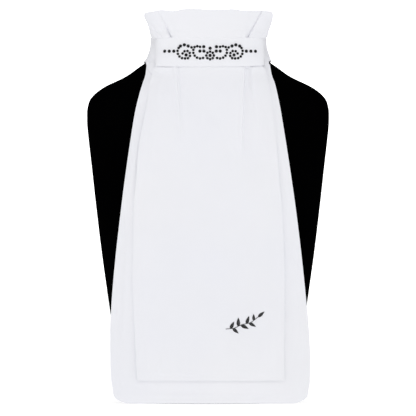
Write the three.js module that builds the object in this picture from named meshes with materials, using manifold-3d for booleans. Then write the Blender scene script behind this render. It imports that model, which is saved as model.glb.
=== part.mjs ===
// A ready-tied stock tie for riding, shown on a plain black neck bust.
// A neckband closes behind the neck. A pleated front panel is pinched by a crystal band:
// above the band it stands up as a frill, below it falls as a flap, and a wider rear flap
// hangs behind it from the neckband's lower edge.
// Millimetres, +Z up, the wearer's front towards -Y, the origin under the middle of the bust.
import * as THREE from "three";
import { mergeVertices } from "three/addons/utils/BufferGeometryUtils.js";
import Module from "manifold-3d";

const wasm = await Module();
wasm.setup();

// Driving dimensions
const seatGap = 0.3; // between pieces that rest on each other
const restingClearance = 0.6; // between a curved skin and the cloth that drapes over it
const clothWallThickness = 1.6; // two plies of the flaps and the band
const neckbandThickness = 2.0;
const neckbandLooseness = 0.8; // neckband to bust
const neckTop = 402;
const bustSides = 72; // faces round the bust

// The bust from its base to the top of its neck, a row for each section
const bustSections = [
  { z: 0, halfWidth: 89, front: -54, back: 58.5, squareness: 2.5 },
  { z: 103, halfWidth: 105, front: -58, back: 63, squareness: 2.4 },
  { z: 207, halfWidth: 119.3, front: -59.5, back: 63.5, squareness: 2.4 },
  { z: 251, halfWidth: 123, front: -58.5, back: 61, squareness: 2.4 },
  { z: 280, halfWidth: 126, front: -56.5, back: 58, squareness: 2.4 },
  { z: 300, halfWidth: 127.9, front: -54, back: 55, squareness: 2.4 },
  { z: 320, halfWidth: 125.3, front: -50.5, back: 51.5, squareness: 2.4 },
  { z: 328, halfWidth: 119, front: -48.7, back: 49.8, squareness: 2.4 },
  { z: 334, halfWidth: 109.5, front: -47, back: 48.6, squareness: 2.4 },
  { z: 340, halfWidth: 96.5, front: -45.2, back: 47.6, squareness: 2.45 },
  { z: 346, halfWidth: 83.8, front: -43.5, back: 46.8, squareness: 2.5 },
  { z: 352, halfWidth: 74.5, front: -41.9, back: 46.2, squareness: 2.6 },
  { z: 358, halfWidth: 67.2, front: -40.7, back: 45.8, squareness: 2.7 },
  { z: 364, halfWidth: 61.8, front: -39.9, back: 45.5, squareness: 2.8 },
  { z: 372, halfWidth: 59, front: -39.5, back: 45.5, squareness: 2.8 },
  { z: 394, halfWidth: 59, front: -39.5, back: 45.5, squareness: 2.8 },
  { z: 400, halfWidth: 57.6, front: -38.1, back: 44.1, squareness: 2.8 },
  { z: neckTop, halfWidth: 54, front: -34.5, back: 40.5, squareness: 2.8 },
];

// The neckband, from its inner end round the front to its outer end, which laps over the inner one
// behind the neck. Angles run from the wearer's left side (0) by the back (90) and the front (270).
const neckband = {
  innerEnd: 70,
  rampStart: 392,
  rampEnd: 427,
  outerEnd: 470,
  top: 389,
  bottomAtSides: 358.2,
  bottomAtFront: 347.4,
  rows: 5,
};
const fastener = { start: 75, end: 105, thickness: 1.5, margin: 5 };

// The crystal band: half a flattened oval in plan, with its ends turned back to the neckband
const band = { centre: 1.7, halfWidth: 56.8, front: -49.2, squareness: 2.6 };
const bandDepth = { low: 13.4, high: 20.4, lowLevel: 357, highLevel: 369 }; // less where the neck flares
const bandTop = 385.4;
const bandBottomMiddle = 354.6;
const bandBottomRise = 1.6; // how much higher the lower edge is at the band's ends
const bandRows = [bandTop, bandDepth.highLevel, 363, bandDepth.lowLevel, bandBottomMiddle];
const bandColumns = 26;

// The rear flap: its side edges and its plan curve at each height
const rearTop = 346.9;
const rearHem = 2;
const rearCorner = { width: 18, height: 9, fadesAt: 26 };
const rearRows = [rearTop, 342, 336, 327, 315, 300, 280, 250, 206, 152, 104, 60, rearCorner.fadesAt, 12, rearHem];
const rearColumns = 16;
const rearFlap = [
  { z: rearHem, left: -99.5, right: 105.5, front: -58.6, depth: 28, span: 150, squareness: 2.2 },
  { z: 18, left: -100.8, right: 106.8, front: -58.8, depth: 28, span: 150, squareness: 2.2 },
  { z: 44, left: -101.9, right: 107.2, front: -59.3, depth: 28, span: 150, squareness: 2.2 },
  { z: 75, left: -102.5, right: 105.9, front: -59.8, depth: 28, span: 150, squareness: 2.2 },
  { z: 104, left: -100.2, right: 103.8, front: -60.1, depth: 28, span: 150, squareness: 2.2 },
  { z: 152, left: -95.9, right: 98.6, front: -60.6, depth: 28, span: 148, squareness: 2.2 },
  { z: 206, left: -90.2, right: 90.9, front: -60.8, depth: 28, span: 142, squareness: 2.2 },
  { z: 250, left: -86, right: 84.5, front: -59.9, depth: 29, span: 134, squareness: 2.2 },
  { z: 280, left: -81.2, right: 80.2, front: -58.1, depth: 31, span: 124, squareness: 2.25 },
  { z: 309, left: -75.6, right: 75.5, front: -54.2, depth: 34, span: 110, squareness: 2.3 },
  { z: 327, left: -70.7, right: 71.5, front: -50.6, depth: 38, span: 98, squareness: 2.4 },
  { z: 338, left: -67.6, right: 68.4, front: -47.6, depth: 43, span: 90, squareness: 2.5 },
  { z: rearTop, left: -64.8, right: 65.4, front: -45.2, depth: 46, span: 86, squareness: 2.6 },
];

// The front panel: its side edges and its plan curve at each height, from the hem to the frill
const panelHem = 24.7;
const frillTop = 414.8;
const panelLayer = 2.3; // how far the flap lies in front of the rear flap, middle to middle
const frontPanel = [
  { z: panelHem, left: -73.9, right: 81.9, front: -61.1, depth: 28, span: 150, squareness: 2.2 },
  { z: 60, left: -75.6, right: 80.8, front: -61.8, depth: 28, span: 150, squareness: 2.2 },
  { z: 92, left: -77.2, right: 80.8, front: -62.3, depth: 28, span: 150, squareness: 2.2 },
  { z: 132, left: -78.8, right: 81.1, front: -62.8, depth: 28, span: 149, squareness: 2.2 },
  { z: 166, left: -78.9, right: 80.9, front: -63, depth: 28, span: 146, squareness: 2.2 },
  { z: 210, left: -77.6, right: 78.5, front: -63.1, depth: 28, span: 141, squareness: 2.2 },
  { z: 240, left: -74.3, right: 75.3, front: -62.6, depth: 28.6, span: 136, squareness: 2.2 },
  { z: 283, left: -69.8, right: 71.8, front: -60.2, depth: 31, span: 122, squareness: 2.25 },
  { z: 303, left: -66.2, right: 68.8, front: -57.4, depth: 33, span: 112, squareness: 2.3 },
  { z: 319, left: -63.4, right: 66, front: -54.6, depth: 35, span: 102, squareness: 2.35 },
  { z: 335, left: -60.6, right: 63.7, front: -51.2, depth: 37, span: 88, squareness: 2.45 },
  { z: 346, left: -58.2, right: 60.9, front: -48.4, depth: 34, span: 74, squareness: 2.5 },
  { z: 353, left: -54.6, right: 57.4, front: -46.4, depth: 22, span: 62, squareness: 2.6 },
  { z: 357, left: -50.9, right: 54.3, front: -46.2, depth: 12.2, span: 54.3, squareness: 2.6 },
  { z: 369, left: -50.9, right: 54.3, front: -46.2, depth: 18.5, span: 54.3, squareness: 2.6 },
  { z: 386, left: -50.9, right: 54.3, front: -46.2, depth: 18.5, span: 54.3, squareness: 2.6 },
  { z: 389, left: -56.8, right: 59.2, front: -47.3, depth: 28, span: 60, squareness: 2.5 },
  { z: 394, left: -60.2, right: 63, front: -49.2, depth: 34, span: 64.5, squareness: 2.4 },
  { z: 401, left: -63, right: 65.8, front: -51.4, depth: 36, span: 68.5, squareness: 2.3 },
  { z: 409, left: -65.6, right: 67, front: -53.8, depth: 37, span: 71.5, squareness: 2.3 },
  { z: frillTop, left: -65.8, right: 66.8, front: -55.4, depth: 37, span: 72, squareness: 2.3 },
];

// The lines that the pleats follow, from the frill's top by the band and the level where the pleats
// have died out, down to the hem. Each x is where the line crosses that level, and each depth is how
// far the cloth lies behind the panel's plan curve there.
const levels = { frill: 409, bandTop: 386, bandBottom: 355, fade: 290 };
const pleatLines = [
  { line: "left edge", frillX: -66, bandX: -50.9, fadeX: -68, hemX: -73.9, frillDepth: 1.5, bandDepth: 1.6 },
  { line: "left outer valley", frillX: -57, bandX: -45, fadeX: -56, hemX: -62, frillDepth: 3.4, bandDepth: 2.4 },
  { line: "left ridge", frillX: -51, bandX: -41.5, fadeX: -48, hemX: -54, frillDepth: -1.6, bandDepth: 1.4 },
  { line: "left valley", frillX: -46, bandX: -37, fadeX: -37, hemX: -44, frillDepth: 4.2, bandDepth: 3 },
  { line: "left pleat", frillX: -36, bandX: -34, fadeX: -26, hemX: -34, frillDepth: 0, bandDepth: 0 },
  { line: "middle", frillX: 1, bandX: 2, fadeX: 3, hemX: 4, frillDepth: -0.6, bandDepth: 0 },
  { line: "right pleat", frillX: 41, bandX: 38, fadeX: 33, hemX: 42, frillDepth: 0, bandDepth: 0 },
  { line: "right valley", frillX: 49, bandX: 41, fadeX: 44, hemX: 52, frillDepth: 4.2, bandDepth: 3 },
  { line: "right ridge", frillX: 54, bandX: 45.5, fadeX: 54, hemX: 62, frillDepth: -1.6, bandDepth: 1.4 },
  { line: "right outer valley", frillX: 60, bandX: 49.5, fadeX: 61, hemX: 71, frillDepth: 3.2, bandDepth: 2.2 },
  { line: "right edge", frillX: 67.4, bandX: 54.3, fadeX: 70.5, hemX: 81.9, frillDepth: 1.5, bandDepth: 1.6 },
];
const stepsBetweenLines = 2;
const stepsAcrossMiddle = 4;
const panelRows = [386, 369, 363, 357, 353, 346, 340, 335, 327, 319, 303, 283, 250, 210, 166, 110, panelHem];
const frillShares = [1, 0.8, 0.6, 0.42, 0.27, 0.13]; // the frill's rows, from its edge to the band

// How far the frill's upper edge lies below its highest point
const frillEdge = [
  { x: -66.2, drop: 6 },
  { x: -55, drop: 3.9 },
  { x: -48, drop: 2.2 },
  { x: -35, drop: 3.2 },
  { x: -26, drop: 0.7 },
  { x: -14, drop: 0 },
  { x: 8, drop: 1.9 },
  { x: 25, drop: 1.3 },
  { x: 41, drop: 2.9 },
  { x: 55, drop: 2.9 },
  { x: 63, drop: 3.9 },
  { x: 67.4, drop: 6 },
];

// The crystals: cut stones of two sizes, glued to the band in a mirrored scroll
const smallStone = { radius: 1.2, height: 1.0 };
const largeStone = { radius: 1.65, height: 1.4 };
const stoneTable = 0.5; // a stone's flat top, as a share of its radius
const stoneFacets = 8;
const stoneSeat = 0.35; // how deep the glue holds a stone
const scrollCentre = { x: 2.2, z: 370 };
// Arcs of one half of the scroll, seen from the front, from the scroll's centre. Angles are in
// degrees from +X, anticlockwise, and the last stone of an arc lies at its end angle.
const scrollArcs = [
  { part: "eye", x: -25.2, z: -2.6, radius: 0, start: 0, end: 0, count: 1, stone: largeStone },
  { part: "curl", x: -25.1, z: -2.4, radius: 4.1, start: 161, end: -108, count: 7, stone: smallStone },
  { part: "outer bow", x: -27.1, z: 0.8, radius: 7.2, start: 250, end: 147, count: 5, stone: smallStone },
  { part: "crown", x: -27.1, z: 0.8, radius: 7.2, start: 124, end: 56, count: 3, stone: largeStone },
  { part: "knot", x: -19.6, z: 5.3, radius: 0, start: 0, end: 0, count: 1, stone: smallStone },
  { part: "inner bow", x: -10.2, z: 1.2, radius: 7.6, start: 168, end: 292, count: 6, stone: smallStone },
  { part: "arch", x: -13.3, z: 0.5, radius: 6, start: 121, end: 63, count: 3, stone: smallStone },
  { part: "hook top", x: -6.7, z: 6, radius: 0, start: 0, end: 0, count: 1, stone: largeStone },
  { part: "hook foot", x: -8.6, z: 1.4, radius: 2.1, start: 180, end: 0, count: 2, stone: largeStone },
];
const scrollRow = { first: -47.5, pitch: 4.8, z: 1.1, count: 3 };
const rosette = { z: -3.2, radius: 4, petals: 8, crownZ: 4.4 };

const material = (color, roughness, metalness = 0) =>
  new THREE.MeshStandardMaterial({ color, roughness, metalness });

// A smooth curve through one column of a table, without overshoot (monotone cubic)
function curveThrough(table, key, column) {
  const at = table.map((row) => row[key]);
  const value = table.map((row) => row[column]);
  const slope = at.slice(1).map((a, i) => (value[i + 1] - value[i]) / (a - at[i]));
  const tangent = at.map((_, i) => {
    if (i === 0) return slope[0];
    if (i === slope.length) return slope[i - 1];
    const before = slope[i - 1];
    const after = slope[i];
    return before * after <= 0 ? 0 : (2 * before * after) / (before + after);
  });
  return (where) => {
    const last = at.length - 1;
    if (where <= at[0]) return value[0];
    if (where >= at[last]) return value[last];
    const i = at.findIndex((a, k) => where >= a && where <= at[k + 1]);
    const width = at[i + 1] - at[i];
    const t = (where - at[i]) / width;
    const rise = t * t * (3 - 2 * t);
    return (
      value[i] * (1 - rise) +
      value[i + 1] * rise +
      width * tangent[i] * t * (1 - t) * (1 - t) -
      width * tangent[i + 1] * t * t * (1 - t)
    );
  };
}

const columnsOf = (table, key, names) =>
  Object.fromEntries(names.map((name) => [name, curveThrough(table, key, name)]));

const bustAt = columnsOf(bustSections, "z", ["halfWidth", "front", "back", "squareness"]);
const rearAt = columnsOf(rearFlap, "z", ["left", "right", "front", "depth", "span", "squareness"]);
const panelAt = columnsOf(frontPanel, "z", ["left", "right", "front", "depth", "span", "squareness"]);
const frillDrop = curveThrough(frillEdge, "x", "drop");

const probe = { angle: 0.02, rise: 1.5, steepest: 2 }; // small steps that find how a surface lies
const mix = (a, b, share) => a + (b - a) * share;
const smoothShare = (value, from, to) => THREE.MathUtils.smoothstep(value, from, to);
const power = (value, exponent) => Math.sign(value) * Math.abs(value) ** exponent;

// A point on the bust's skin, moved off it by an offset
function bustPoint(degrees, height, offset = 0) {
  const on = (angle, z) => {
    const exponent = 2 / bustAt.squareness(z);
    const middle = (bustAt.front(z) + bustAt.back(z)) / 2;
    const halfDepth = (bustAt.back(z) - bustAt.front(z)) / 2;
    return new THREE.Vector3(
      bustAt.halfWidth(z) * power(Math.cos(angle), exponent),
      middle + halfDepth * power(Math.sin(angle), exponent),
      z,
    );
  };
  const angle = THREE.MathUtils.degToRad(degrees);
  const around = on(angle + probe.angle, height).sub(on(angle - probe.angle, height));
  const upwards = on(angle, height + probe.rise).sub(on(angle, height - probe.rise));
  return on(angle, height).addScaledVector(around.cross(upwards).normalize(), offset);
}

// How far forward the bust's skin lies at a place, seen from the front
function bustFront(x, z) {
  const exponent = bustAt.squareness(z);
  const share = Math.min(Math.abs(x) / bustAt.halfWidth(z), 1);
  const middle = (bustAt.front(z) + bustAt.back(z)) / 2;
  const halfDepth = (bustAt.back(z) - bustAt.front(z)) / 2;
  return middle - halfDepth * (1 - share ** exponent) ** (1 / exponent);
}

// The depth of a sheet that rests in front of a surface, at a true distance from it
function restingOn(surface, x, z, distance) {
  const sideways = surface(x + probe.rise, z) - surface(x - probe.rise, z);
  const upwards = surface(x, z + probe.rise) - surface(x, z - probe.rise);
  const slant = Math.hypot(1, sideways / (2 * probe.rise), upwards / (2 * probe.rise));
  return surface(x, z) - distance * Math.min(slant, probe.steepest);
}

// The depth of a flattened oval at a distance from its middle
function ovalDepth(x, { front, depth, span, squareness }) {
  const share = Math.min(Math.abs(x) / span, 1);
  return front + depth * (1 - (1 - share ** squareness) ** (1 / squareness));
}

// A closed geometry from vertices and faces, turned so that its faces point outwards
function closedGeometry(vertices, triangles) {
  let volume = 0;
  for (const [a, b, c] of triangles)
    volume += vertices[a].dot(new THREE.Vector3().crossVectors(vertices[b], vertices[c]));
  const faces = volume < 0 ? triangles.map(([a, b, c]) => [a, c, b]) : triangles;
  const geometry = new THREE.BufferGeometry().setFromPoints(vertices);
  geometry.setIndex(faces.flat());
  geometry.computeVertexNormals();
  return geometry;
}

// A wall of cloth round its middle surface, which pointAt gives for each row and column
function clothWall(rows, columns, thickness, pointAt) {
  const middle = (i, j) => pointAt(THREE.MathUtils.clamp(i, 0, rows), THREE.MathUtils.clamp(j, 0, columns));
  const vertices = [];
  for (const side of [1, -1])
    for (let i = 0; i <= rows; i++)
      for (let j = 0; j <= columns; j++) {
        const down = middle(i + 1, j).sub(middle(i - 1, j));
        const across = middle(i, j + 1).sub(middle(i, j - 1));
        const normal = down.cross(across).normalize();
        vertices.push(middle(i, j).addScaledVector(normal, (side * thickness) / 2));
      }
  const count = (rows + 1) * (columns + 1);
  const front = (i, j) => i * (columns + 1) + j;
  const back = (i, j) => front(i, j) + count;
  const triangles = [];
  const quad = (a, b, c, d) => triangles.push([a, b, c], [a, c, d]);
  for (let i = 0; i < rows; i++)
    for (let j = 0; j < columns; j++) {
      quad(front(i, j), front(i, j + 1), front(i + 1, j + 1), front(i + 1, j));
      quad(back(i, j), back(i + 1, j), back(i + 1, j + 1), back(i, j + 1));
    }
  for (let j = 0; j < columns; j++) {
    quad(front(0, j), back(0, j), back(0, j + 1), front(0, j + 1));
    quad(front(rows, j), front(rows, j + 1), back(rows, j + 1), back(rows, j));
  }
  for (let i = 0; i < rows; i++) {
    quad(front(i, 0), front(i + 1, 0), back(i + 1, 0), back(i, 0));
    quad(front(i, columns), back(i, columns), back(i + 1, columns), front(i + 1, columns));
  }
  return closedGeometry(vertices, triangles);
}

// The neck bust: rings through its sections, with a flat base and a flat top
function bustGeometry() {
  const heights = bustSections.map((row) => row.z);
  const vertices = [];
  for (const z of heights)
    for (let k = 0; k < bustSides; k++) vertices.push(bustPoint((k * 360) / bustSides, z));
  const base = vertices.push(new THREE.Vector3(0, 0, 0)) - 1;
  const neckMiddle = (bustAt.front(neckTop) + bustAt.back(neckTop)) / 2;
  const top = vertices.push(new THREE.Vector3(0, neckMiddle, neckTop)) - 1;
  const triangles = [];
  const last = (heights.length - 1) * bustSides;
  for (let k = 0; k < bustSides; k++) {
    const next = (k + 1) % bustSides;
    for (let i = 0; i < heights.length - 1; i++) {
      const low = i * bustSides;
      const high = low + bustSides;
      triangles.push([low + k, low + next, high + next], [low + k, high + next, high + k]);
    }
    triangles.push([base, next, k], [top, last + k, last + next]);
  }
  return closedGeometry(vertices, triangles);
}

// The neckband's lower edge, which dips in front to meet the rear flap
function neckbandBottom(degrees) {
  const frontness = Math.max(0, -Math.sin(THREE.MathUtils.degToRad(degrees)));
  return mix(neckband.bottomAtSides, neckband.bottomAtFront, smoothShare(frontness, 0.15, 0.8));
}

function neckbandGeometry() {
  const columns = ((neckband.outerEnd - neckband.innerEnd) * bustSides) / 360;
  const lap = neckbandThickness + fastener.thickness + 2 * seatGap;
  return clothWall(neckband.rows, columns, neckbandThickness, (i, j) => {
    const degrees = mix(neckband.innerEnd, neckband.outerEnd, j / columns);
    const raised = lap * smoothShare(degrees, neckband.rampStart, neckband.rampEnd);
    const z = mix(neckband.top, neckbandBottom(degrees), i / neckband.rows);
    return bustPoint(degrees, z, neckbandLooseness + neckbandThickness / 2 + raised);
  });
}

function fastenerGeometry() {
  const columns = ((fastener.end - fastener.start) * bustSides) / 360;
  const offset = neckbandLooseness + neckbandThickness + seatGap + fastener.thickness / 2;
  return clothWall(1, columns, fastener.thickness, (i, j) => {
    const degrees = mix(fastener.start, fastener.end, j / columns);
    const top = neckband.top - fastener.margin;
    const bottom = neckband.bottomAtSides + fastener.margin;
    return bustPoint(degrees, mix(top, bottom, i), offset);
  });
}

// The middle of the rear flap: its own plan curve, or the bust where that is further forward
function rearFlapDepth(x, z) {
  const plan = {
    front: rearAt.front(z),
    depth: rearAt.depth(z),
    span: rearAt.span(z),
    squareness: rearAt.squareness(z),
  };
  const onBust = restingOn(bustFront, x, z, restingClearance + clothWallThickness / 2);
  return Math.min(ovalDepth(x, plan), onBust);
}

function rearFlapGeometry() {
  return clothWall(rearRows.length - 1, rearColumns, clothWallThickness, (i, j) => {
    const share = j / rearColumns;
    const level = rearRows[i];
    const left = rearAt.left(level);
    const right = rearAt.right(level);
    // Columns crowd towards the side edges, where the corners are round
    const spread = 0.5 - 0.5 * Math.cos(Math.PI * share);
    const x = mix(left, right, mix(share, spread, 0.6));
    const fromCorner = Math.min(x - left, right - x);
    const inCorner = Math.max(0, 1 - fromCorner / rearCorner.width);
    const lift = rearCorner.height * (1 - Math.sqrt(Math.max(0, 1 - inCorner ** 2)));
    const z = level + lift * (1 - smoothShare(level, rearHem, rearCorner.fadesAt));
    return new THREE.Vector3(x, rearFlapDepth(x, z), z);
  });
}

// Where each column of the front panel lies across the cloth: on a pleat line or between two
const panelColumns = pleatLines.slice(0, -1).flatMap((line, k) => {
  const besideMiddle = line.line === "middle" || pleatLines[k + 1].line === "middle";
  const steps = besideMiddle ? stepsAcrossMiddle : stepsBetweenLines;
  return Array.from({ length: steps }, (_, n) => k + n / steps);
});
panelColumns.push(pleatLines.length - 1);

// A value of the pleat table at a place across the cloth, between its lines
function acrossPleats(place, column) {
  const k = Math.min(Math.floor(place), pleatLines.length - 2);
  return mix(pleatLines[k][column], pleatLines[k + 1][column], place - k);
}

// How far across the panel a place lies at a height, from 0 at its left edge to 1 at its right
function panelShare(place, z) {
  const share = (column) => {
    const left = pleatLines[0][column];
    const right = pleatLines[pleatLines.length - 1][column];
    return (acrossPleats(place, column) - left) / (right - left);
  };
  if (z >= levels.bandTop)
    return mix(share("bandX"), share("frillX"), smoothShare(z, levels.bandTop, levels.frill));
  if (z >= levels.bandBottom) return share("bandX");
  if (z >= levels.fade)
    return mix(share("fadeX"), share("bandX"), (z - levels.fade) / (levels.bandBottom - levels.fade));
  return mix(share("hemX"), share("fadeX"), (z - panelHem) / (levels.fade - panelHem));
}

// How far the cloth lies behind the panel's plan curve
function pleatDepth(place, z) {
  const atBand = acrossPleats(place, "bandDepth");
  if (z >= levels.bandTop)
    return mix(atBand, acrossPleats(place, "frillDepth"), smoothShare(z, levels.bandTop, levels.frill));
  return Math.max(0, atBand) * smoothShare(z, levels.fade, levels.bandBottom);
}

// The furthest back that the front panel's middle may lie: on the neckband, the bust or the rear flap
function panelRest(x, z) {
  if (z > neckband.top) return Infinity;
  if (z <= rearTop) return restingOn(rearFlapDepth, x, z, panelLayer);
  const overBust = neckbandLooseness + neckbandThickness + restingClearance + clothWallThickness / 2;
  return restingOn(bustFront, x, z, overBust);
}

function frontPanelGeometry() {
  const rows = frillShares.length + panelRows.length - 1;
  return clothWall(rows, panelColumns.length - 1, clothWallThickness, (i, j) => {
    const place = panelColumns[j];
    const lie = (z) => mix(panelAt.left(z), panelAt.right(z), panelShare(place, z));
    const edge = frillTop - frillDrop(lie(levels.frill));
    const inFrill = i < frillShares.length;
    const z = inFrill ? mix(bandTop, edge, frillShares[i]) : panelRows[i - frillShares.length];
    const x = lie(z);
    const middle = mix(0, band.centre, smoothShare(z, levels.fade, levels.bandBottom));
    const plan = {
      front: panelAt.front(z),
      depth: panelAt.depth(z),
      span: panelAt.span(z),
      squareness: panelAt.squareness(z),
    };
    const hanging = ovalDepth(x - middle, plan) + pleatDepth(place, z);
    return new THREE.Vector3(x, Math.min(hanging, panelRest(x, z)), z);
  });
}

// A point of the band's plan curve at a height, from -1 at its left end to 1 at its right end, and the
// direction that the band faces there
function bandPlan(share, z, inset = 0) {
  const exponent = 2 / band.squareness;
  const depth = mix(bandDepth.low, bandDepth.high, smoothShare(z, bandDepth.lowLevel, bandDepth.highLevel));
  const on = (s) => {
    const angle = (s * Math.PI) / 2;
    return new THREE.Vector2(
      band.centre + band.halfWidth * power(Math.sin(angle), exponent),
      band.front + depth * (1 - Math.max(0, Math.cos(angle)) ** exponent),
    );
  };
  const along = on(Math.min(share + 0.01, 1)).sub(on(Math.max(share - 0.01, -1))).normalize();
  const facing = new THREE.Vector2(along.y, -along.x);
  return { point: on(share).addScaledVector(facing, -inset), facing };
}

function bandGeometry() {
  const lowest = bandRows.length - 1;
  return clothWall(lowest, bandColumns, clothWallThickness, (i, j) => {
    const share = (2 * j) / bandColumns - 1;
    const z = bandRows[i] + (i === lowest ? bandBottomRise * share ** 2 : 0);
    const { point } = bandPlan(share, z, clothWallThickness / 2);
    return new THREE.Vector3(point.x, point.y, z);
  });
}

// Where each stone sits, seen from the front
function stonePlaces() {
  const places = [];
  const add = (x, z, stone) => places.push({ x: scrollCentre.x + x, z: scrollCentre.z + z, stone });
  for (const mirror of [1, -1]) {
    for (const arc of scrollArcs)
      for (let k = 0; k < arc.count; k++) {
        const turn = mix(arc.start, arc.end, arc.count > 1 ? k / (arc.count - 1) : 0);
        const angle = THREE.MathUtils.degToRad(turn);
        const x = arc.x + arc.radius * Math.cos(angle);
        add(mirror * x, arc.z + arc.radius * Math.sin(angle), arc.stone);
      }
    for (let k = 0; k < scrollRow.count; k++)
      add(mirror * (scrollRow.first + k * scrollRow.pitch), scrollRow.z, largeStone);
  }
  for (let k = 0; k < rosette.petals; k++) {
    const angle = (k * 2 * Math.PI) / rosette.petals;
    add(rosette.radius * Math.sin(angle), rosette.z + rosette.radius * Math.cos(angle), smallStone);
  }
  add(0, rosette.z, largeStone);
  add(0, rosette.crownZ, largeStone);
  return places;
}

// A cut stone with a flat table, standing on the band and facing as the band does there
function stoneGeometry({ x, z, stone }) {
  const { point, facing } = bandPlan(bandShare(x - band.centre), z);
  const height = stone.height + stoneSeat;
  const geometry = new THREE.CylinderGeometry(
    stone.radius * stoneTable,
    stone.radius,
    height,
    stoneFacets,
  );
  const outwards = new THREE.Vector3(facing.x, facing.y, 0);
  const turn = new THREE.Quaternion().setFromUnitVectors(new THREE.Vector3(0, 1, 0), outwards);
  geometry.applyQuaternion(turn);
  const centre = new THREE.Vector3(point.x, point.y, z).addScaledVector(outwards, height / 2 - stoneSeat);
  return geometry.translate(centre.x, centre.y, centre.z);
}

// The share of the band's plan curve at a distance to one side of its middle
function bandShare(distance) {
  const sine = Math.abs(distance / band.halfWidth) ** (band.squareness / 2);
  return (Math.sign(distance) * Math.asin(sine) * 2) / Math.PI;
}

function solidOf(geometry) {
  const bare = geometry.clone();
  bare.deleteAttribute("normal");
  bare.deleteAttribute("uv");
  const merged = mergeVertices(bare);
  return new wasm.Manifold(
    new wasm.Mesh({
      numProp: 3,
      vertProperties: merged.attributes.position.array,
      triVerts: new Uint32Array(merged.index.array),
    }),
  );
}

function geometryOf(solid) {
  const mesh = solid.getMesh();
  const geometry = new THREE.BufferGeometry();
  geometry.setAttribute("position", new THREE.BufferAttribute(mesh.vertProperties, 3));
  geometry.setIndex(new THREE.BufferAttribute(mesh.triVerts, 1));
  geometry.computeVertexNormals();
  return geometry;
}

function crystalBandGeometry() {
  const stones = stonePlaces().map((place) => solidOf(stoneGeometry(place)));
  return geometryOf(stones.reduce((solid, stone) => solid.add(stone), solidOf(bandGeometry())));
}

const whiteCloth = 0xeeeef2;
const tie = new THREE.Group();
const addPiece = (name, geometry, finish) => {
  const mesh = new THREE.Mesh(geometry, finish);
  mesh.name = name;
  tie.add(mesh);
};

addPiece("neck_bust", bustGeometry(), material(0x0b0b0c, 0.95));
addPiece("neckband", neckbandGeometry(), material(whiteCloth, 0.85));
addPiece("neckband_fastener", fastenerGeometry(), material(0xe4e4e6, 0.9));
addPiece("rear_flap", rearFlapGeometry(), material(whiteCloth, 0.85));
addPiece("front_panel", frontPanelGeometry(), material(whiteCloth, 0.85));
addPiece("crystal_band", crystalBandGeometry(), material(whiteCloth, 0.8));

export default tie;
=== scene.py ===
"""A ready-tied stock tie on its black neck bust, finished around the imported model.

Metres, +Z up, the front towards -Y. The cloth and the closure are walls round a middle surface. The
bust, the crystals and the stitches are modelled with Blender's own tools.
"""

import math

import bmesh
import bpy
import numpy as np
from mathutils import Matrix, Vector


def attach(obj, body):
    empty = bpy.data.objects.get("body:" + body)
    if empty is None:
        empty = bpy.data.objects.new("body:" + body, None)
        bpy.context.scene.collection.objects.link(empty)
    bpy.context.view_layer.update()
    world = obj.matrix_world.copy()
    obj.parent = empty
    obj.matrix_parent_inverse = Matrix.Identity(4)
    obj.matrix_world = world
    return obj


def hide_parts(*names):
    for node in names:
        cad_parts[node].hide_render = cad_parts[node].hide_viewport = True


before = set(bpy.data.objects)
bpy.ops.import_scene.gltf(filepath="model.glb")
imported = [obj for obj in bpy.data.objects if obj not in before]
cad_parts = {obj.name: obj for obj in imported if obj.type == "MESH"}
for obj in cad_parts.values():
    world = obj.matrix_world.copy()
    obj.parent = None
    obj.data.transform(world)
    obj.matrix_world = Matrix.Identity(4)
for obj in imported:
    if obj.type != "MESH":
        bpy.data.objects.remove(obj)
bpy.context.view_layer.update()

# The camera: level, in front, with the whole tie in its square picture
PICTURE_WIDTH = 0.4368
PICTURE_CENTRE = Vector((0, -0.06, 0.2062))
CAMERA_DISTANCE = 4.0
SENSOR = 36.0

# The cloth
PLY_WALL = 0.0012
NECKBAND_WALL = 0.0015
CROSS_WALL = 0.001
EDGE_ROUNDING = 0.00035
WEAVE_PITCH = 0.00042

# How far apart two places are from which a surface's slant is worked out: along it in metres, round
# the bust in radians and along a share of the cross band's plan curve
SMALL_STEP = 0.0015
SMALL_TURN = 0.02
SMALL_SHARE = 0.01

# The bust's sections
BUST_COLUMNS = ("z", "half_width", "front", "back", "squareness")
BUST = [
    (0, 0.089, -0.054, 0.0585, 2.5),
    (0.103, 0.1054, -0.058, 0.063, 2.4),
    (0.155, 0.1129, -0.059, 0.0634, 2.4),
    (0.206, 0.1191, -0.0595, 0.0635, 2.4),
    (0.251, 0.1241, -0.0585, 0.061, 2.4),
    (0.282, 0.1276, -0.0562, 0.0577, 2.4),
    (0.297, 0.1289, -0.0544, 0.0554, 2.4),
    (0.308, 0.129, -0.0527, 0.0535, 2.4),
    (0.316, 0.1278, -0.0513, 0.0521, 2.4),
    (0.3215, 0.1258, -0.0502, 0.0512, 2.4),
    (0.327, 0.1213, -0.0489, 0.05, 2.4),
    (0.3315, 0.1158, -0.0477, 0.0491, 2.4),
    (0.3357, 0.1093, -0.0464, 0.0482, 2.42),
    (0.34, 0.1004, -0.0452, 0.0476, 2.45),
    (0.3442, 0.0914, -0.044, 0.047, 2.48),
    (0.3485, 0.084, -0.0428, 0.0465, 2.53),
    (0.353, 0.0778, -0.0417, 0.0461, 2.6),
    (0.357, 0.0724, -0.0409, 0.0459, 2.66),
    (0.3605, 0.0672, -0.0403, 0.0457, 2.72),
    (0.364, 0.0641, -0.0399, 0.0455, 2.78),
    (0.37, 0.0615, -0.0396, 0.0455, 2.8),
    (0.376, 0.0597, -0.0395, 0.0455, 2.8),
    (0.384, 0.059, -0.0395, 0.0455, 2.8),
    (0.394, 0.059, -0.0395, 0.0455, 2.8),
    (0.4, 0.0576, -0.0381, 0.0441, 2.8),
    (0.402, 0.054, -0.0345, 0.0405, 2.8),
]
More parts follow.
